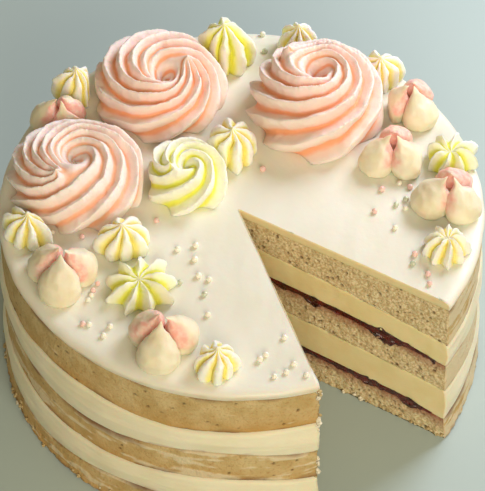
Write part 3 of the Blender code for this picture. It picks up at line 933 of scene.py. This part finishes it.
def tulip_mesh(name, turn, radius, height, plumps, blushes):
    """Three drops side by side; plumps and blushes are how plump and how pink inside each one is."""
    points, blush, faces = [], [], []
    column = np.arange(petal_columns)
    after = (column + 1) % petal_columns
    for index, (plump, pinkness) in enumerate(zip(plumps, blushes)):
        angle = math.radians(turn + 120 * index)
        along = np.array((math.cos(angle), math.sin(angle)))
        shape, pink_share = petal(along, radius, height * (0.94 + 0.06 * plump), plump, pinkness)
        first = index * petal_rows * petal_columns
        for row in range(petal_rows - 1):
            low, high = first + row * petal_columns, first + (row + 1) * petal_columns
            faces += np.column_stack((low + column, low + after, high + after, high + column)).tolist()
        faces.append((first + column[::-1]).tolist())
        faces.append((first + (petal_rows - 1) * petal_columns + column).tolist())
        points.append(shape)
        blush.append(pink_share)
    points, blush = np.concatenate(points), np.concatenate(blush)
    seed = radius * 900 + turn
    lumps = np.column_stack([noise_at(points, 0.0060, seed + shift, 2) for shift in (0, 50, 100)])
    creases = noise_at(points * (1, 1, 0.35), 0.0022, seed + 30, 2)[:, None]
    outward = points - points.mean(axis=0) * (1, 1, 0.6)
    outward /= np.linalg.norm(outward, axis=1)[:, None]
    points += (lumps * 0.0007 + creases * outward * 0.00028) * np.clip(points[:, 2:] / 0.002, 0, 1)
    points[:, 2] *= 1 + 0.03 * lumps[:, 0]
    blush = np.clip(blush * (0.75 + 0.5 * noise_at(points, 0.0045, seed + 7, 2)), 0, 1)
    return plain_mesh(name, points, faces, {"blush": blush})


def tulip_finish():
    finish = Finish("tulip_cream", Subsurface_Weight=0.35, Subsurface_Scale=0.0035, Specular_IOR_Level=0.4)
    cream = finish.mottle(0.008, 3, (0.84, 0.75, 0.52), (0.88, 0.82, 0.64))
    rosy = finish.mottle(0.0025, 3, (0.94, 0.68, 0.58), (0.90, 0.47, 0.39))
    finish.set("Base Color", finish.mix(finish.ramp(finish.value("blush"), 0.10, 0.85), cream, rosy))
    finish.rough(0.0025, 3, 0.38, 0.55)
    finish.bump(finish.grain(0.0013, 3), 0.00010)
    return finish.material


tulip_material = tulip_finish()
# How plump each of the three petals is, and how pink inside
petals = {
    "tulip_1": ((1.00, 1.00, 0.95), (1.6, 1.2, 1.4)), "tulip_2": ((1.05, 0.98, 0.98), (0.5, 1.4, 1.2)),
    "tulip_3": ((1.05, 0.95, 0.98), (0.6, 1.4, 1.6)), "tulip_4": ((0.90, 1.05, 1.05), (1.8, 1.1, 1.1)),
    "tulip_5": ((1.00, 1.10, 1.02), (1.9, 0.7, 1.2)), "tulip_6": ((0.95, 1.00, 1.10), (1.8, 1.3, 0.6)),
}
for node, turn, place, radius, height in tulips:
    tulip = tulip_mesh(node + "_petals", turn, radius, height, *petals[node])
    tulip.data.materials.append(tulip_material)
    settle(tulip, place, radius)
    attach(tulip, "root")
    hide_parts(node)


# ---------------------------------------------------------------- sugar pearls
# Small polished sugar balls, 2 to 3 mm wide, strewn by hand between the piped pieces and pressed a little
# into the icing before it set.

pearl_sizes = 0.00105, 0.00135                   # the smallest and largest radius
pearl_centre = 0.0006                            # above the icing
# Where they fell, in millimetres from the middle of the cake
pearl_places = {
    "white": ((-23, -28), (-16, -25), (-15.5, -32.5), (-13, -41), (-8.5, -42.5), (-7, -61), (-75, -24.5),
              (-45, -71), (-1, 98), (35, -87.5), (-54.5, -56), (-55.5, -58.5), (-53.5, -71), (-47, -76),
              (24.5, -69.5), (16, -81.5), (18, -79), (22.5, -89.5), (29.5, -82.5), (27, -87), (64, 17.5),
              (67.5, 4), (64, -7)),
    "pink": ((-33.5, -13.5), (-62.5, -25.5), (-52.8, -49.6), (-54.2, -53.2), (-56, -71), (7, 19.5),
             (57, 13.5), (68.5, 15.8), (55, 1), (73, -20.5), (79, -30.5), (80, -35.5)),
    "green": ((-20, -45.5), (-9.5, -50.5), (67.3, 9), (63.5, 5.5), (72.5, -25.5), (1, 88)),
}
pearl_colours = {"white": ((0.90, 0.85, 0.70), (0.94, 0.92, 0.82)),
                 "pink": ((0.88, 0.56, 0.50), (0.92, 0.66, 0.60)),
                 "green": ((0.50, 0.53, 0.38), (0.66, 0.70, 0.54))}


def scattered(name, lumpy):
    """Geometry Nodes that put one small ball, of its own size, on every point given. A lumpy ball is a crumb,
    and each crumb is turned its own way."""
    shape = Shape(name, ("Seed",), ("Smallest", "Largest"), ("Points",))
    given, spin = shape.given, None
    ball = add_node(shape.tree, "GeometryNodeMeshIcoSphere", (1.0, 3)).outputs[0]
    if lumpy:
        position = shape.tree.nodes.new("GeometryNodeInputPosition").outputs[0]
        feeds = {"Geometry": ball, "Position": shape.wander(position, 0.7, 2.2)}
        ball = add_node(shape.tree, "GeometryNodeSetPosition", feeds).outputs[0]
        feeds = {0: (0.0, 0.0, 0.0), 1: (6.28, 6.28, 6.28), "Seed": given["Seed"]}
        spin = add_node(shape.tree, "FunctionNodeRandomValue", feeds, data_type="FLOAT_VECTOR").outputs[0]
    feeds = {2: given["Smallest"], 3: given["Largest"], "Seed": given["Seed"]}
    size = add_node(shape.tree, "FunctionNodeRandomValue", feeds, data_type="FLOAT").outputs[1]
    dots = add_node(shape.tree, "GeometryNodeMeshToPoints", {"Mesh": given["Points"]}).outputs[0]
    feeds = {"Points": dots, "Instance": ball, "Rotation": spin, "Scale": size}
    return shape.close(add_node(shape.tree, "GeometryNodeInstanceOnPoints", feeds).outputs[0])


def pearl_finish(name, dark, light):
    finish = Finish(name, Subsurface_Weight=0.2, Subsurface_Scale=0.001, Coat_Weight=0.5, Coat_Roughness=0.15)
    finish.set("Base Color", finish.mottle(0.0012, 2, dark, light))
    finish.rough(0.0008, 2, 0.20, 0.34)
    finish.bump(finish.grain(0.0005, 2), 0.00003)
    return finish.material


pearl_tree = scattered("scattered_pearls", False)
for number, (colour, places) in enumerate(pearl_places.items()):
    start = bpy.data.meshes.new("places")
    start.from_pydata([(x / 1000, y / 1000, icing_top + pearl_centre) for x, y in places], [], [])
    material = pearl_finish(f"{colour}_sugar", *pearl_colours[colour])
    inputs = {"Smallest": pearl_sizes[0], "Largest": pearl_sizes[1], "Seed": number, "Finish": material}
    pearls = from_nodes(f"pearls_{colour}", pearl_tree, inputs, start)
    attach(pearls, "root")


# ---------------------------------------------------------------- crumbs
# Crumbs of sponge that the knife tore off. They cling in clusters up the outer edge of the front cut, and
# along the foot of the lowest sponge. Some of them are smeared with cream.


def crumb_finish(name, dark, light):
    finish = Finish(name, Specular_IOR_Level=0.3)
    finish.set("Base Color", finish.mottle(0.0009, 3, dark, light))
    finish.rough(0.0008, 2, 0.65, 0.90)
    finish.bump(finish.grain(0.0004, 3), 0.00015)
    return finish.material


def crumb_spots(luck, upright, foot):
    """Where crumbs cling: in clusters up the front cut's edge, and along the foot of wall and right cut."""
    spots = []
    clusters = luck.uniform(0.001, icing_low.z, 9)
    for _ in range(upright):
        z = abs(luck.choice(clusters) + luck.normal(0, 0.0018))
        edge = on_cut(cake_radius + luck.uniform(-0.0014, 0.0006), cut_front)
        spots.append((edge[0] + luck.uniform(-0.0008, 0.0005), edge[1], min(z, icing_low.z)))
    for _ in range(foot):
        angle = luck.uniform(math.radians(175), math.radians(292))
        radius = foot_radius + luck.uniform(-0.0009, 0.0002)
        z = luck.uniform(0.0, 1.0) ** 2 * 0.006 + 0.0005
        spots.append((radius * math.cos(angle), radius * math.sin(angle), z))
    for _ in range(foot // 3):
        edge = on_cut(luck.uniform(0.012, foot_radius), cut_right)
        spots.append((edge[0] - 0.0003, edge[1] - 0.0004, luck.uniform(0.0008, 0.0030)))
    return spots


crumb_tree = scattered("torn_crumbs", True)
crumb_kinds = {
    "crumbs_sponge": ("sponge", (0.44, 0.32, 0.14), (0.66, 0.52, 0.28), 34, 54, 0.0003, 0.0009),
    "crumbs_cream": ("cream", (0.80, 0.72, 0.52), (0.88, 0.82, 0.68), 44, 24, 0.0003, 0.0011),
}
for number, (name, (slot, dark, light, upright, foot, smallest, largest)) in enumerate(crumb_kinds.items()):
    luck = np.random.default_rng(60 + number)
    start = bpy.data.meshes.new("places")
    start.from_pydata(crumb_spots(luck, upright, foot), [], [])
    material = crumb_finish(name, dark, light)
    inputs = {"Smallest": smallest, "Largest": largest, "Seed": number + 5, "Finish": material}
    crumbs = from_nodes(name, crumb_tree, inputs, start)
    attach(crumbs, "root")


# ---------------------------------------------------------------- floor, light and camera
# A plain pale floor, one soft light from the back right, like a window, and a wide one further off in front
# that lifts the shade.

floor_corners = 3.0 * np.array(((-1, -1, 0), (1, -1, 0), (1, 1, 0), (-1, 1, 0)))
floor = plain_mesh("floor", floor_corners, [(0, 1, 2, 3)])
floor_finish = Finish("pale_floor", Roughness=0.7)
tones = (0.43, 0.52, 0.51), (0.46, 0.56, 0.55)
floor_finish.set("Base Color", floor_finish.mix(floor_finish.grain(0.2, 2), *tones))
floor.data.materials.append(floor_finish.material)

world = bpy.data.worlds.new("studio")
bpy.context.scene.world = world
world.use_nodes = True
room_light = world.node_tree.nodes["Background"].inputs
room_light["Color"].default_value = (1.0, 0.86, 0.57, 1)
room_light["Strength"].default_value = 0.28


def soft_light(name, azimuth, elevation, distance, size, power, colour):
    """A square light that faces the cake. Azimuth is counted from +X towards +Y."""
    light = bpy.data.lights.new(name, "AREA")
    light.size, light.energy, light.color = size, power, colour
    obj = bpy.data.objects.new(name, light)
    a, e = math.radians(azimuth), math.radians(elevation)
    away = Vector((math.cos(a) * math.cos(e), math.sin(a) * math.cos(e), math.sin(e)))
    obj.location = away * distance + Vector((0, 0, 0.05))
    obj.rotation_euler = away.to_track_quat("Z", "Y").to_euler()
    bpy.context.scene.collection.objects.link(obj)


soft_light("window", 48, 40, 0.55, 0.26, 2.42, (0.95, 0.98, 1.10))
soft_light("front_fill", -69, 30, 1.4, 0.8, 13.0, (1.0, 0.90, 0.72))

camera = bpy.data.cameras.new("camera")
camera.lens = 227.9
camera.clip_start, camera.clip_end = 0.01, 20
camera_object = bpy.data.objects.new("camera", camera)
aim, camera_distance = Vector((0.0005, 0.0, 0.0604)), 1.3
azimuth, elevation = math.radians(6), math.radians(49)
back = Vector((math.sin(azimuth) * math.cos(elevation), -math.cos(azimuth) * math.cos(elevation),
               math.sin(elevation)))
camera_object.location = aim + back * camera_distance
camera_object.rotation_euler = back.to_track_quat("Z", "Y").to_euler()
bpy.context.scene.collection.objects.link(camera_object)
bpy.context.scene.camera = camera_object
bpy.context.scene.view_settings.view_transform = "Standard"
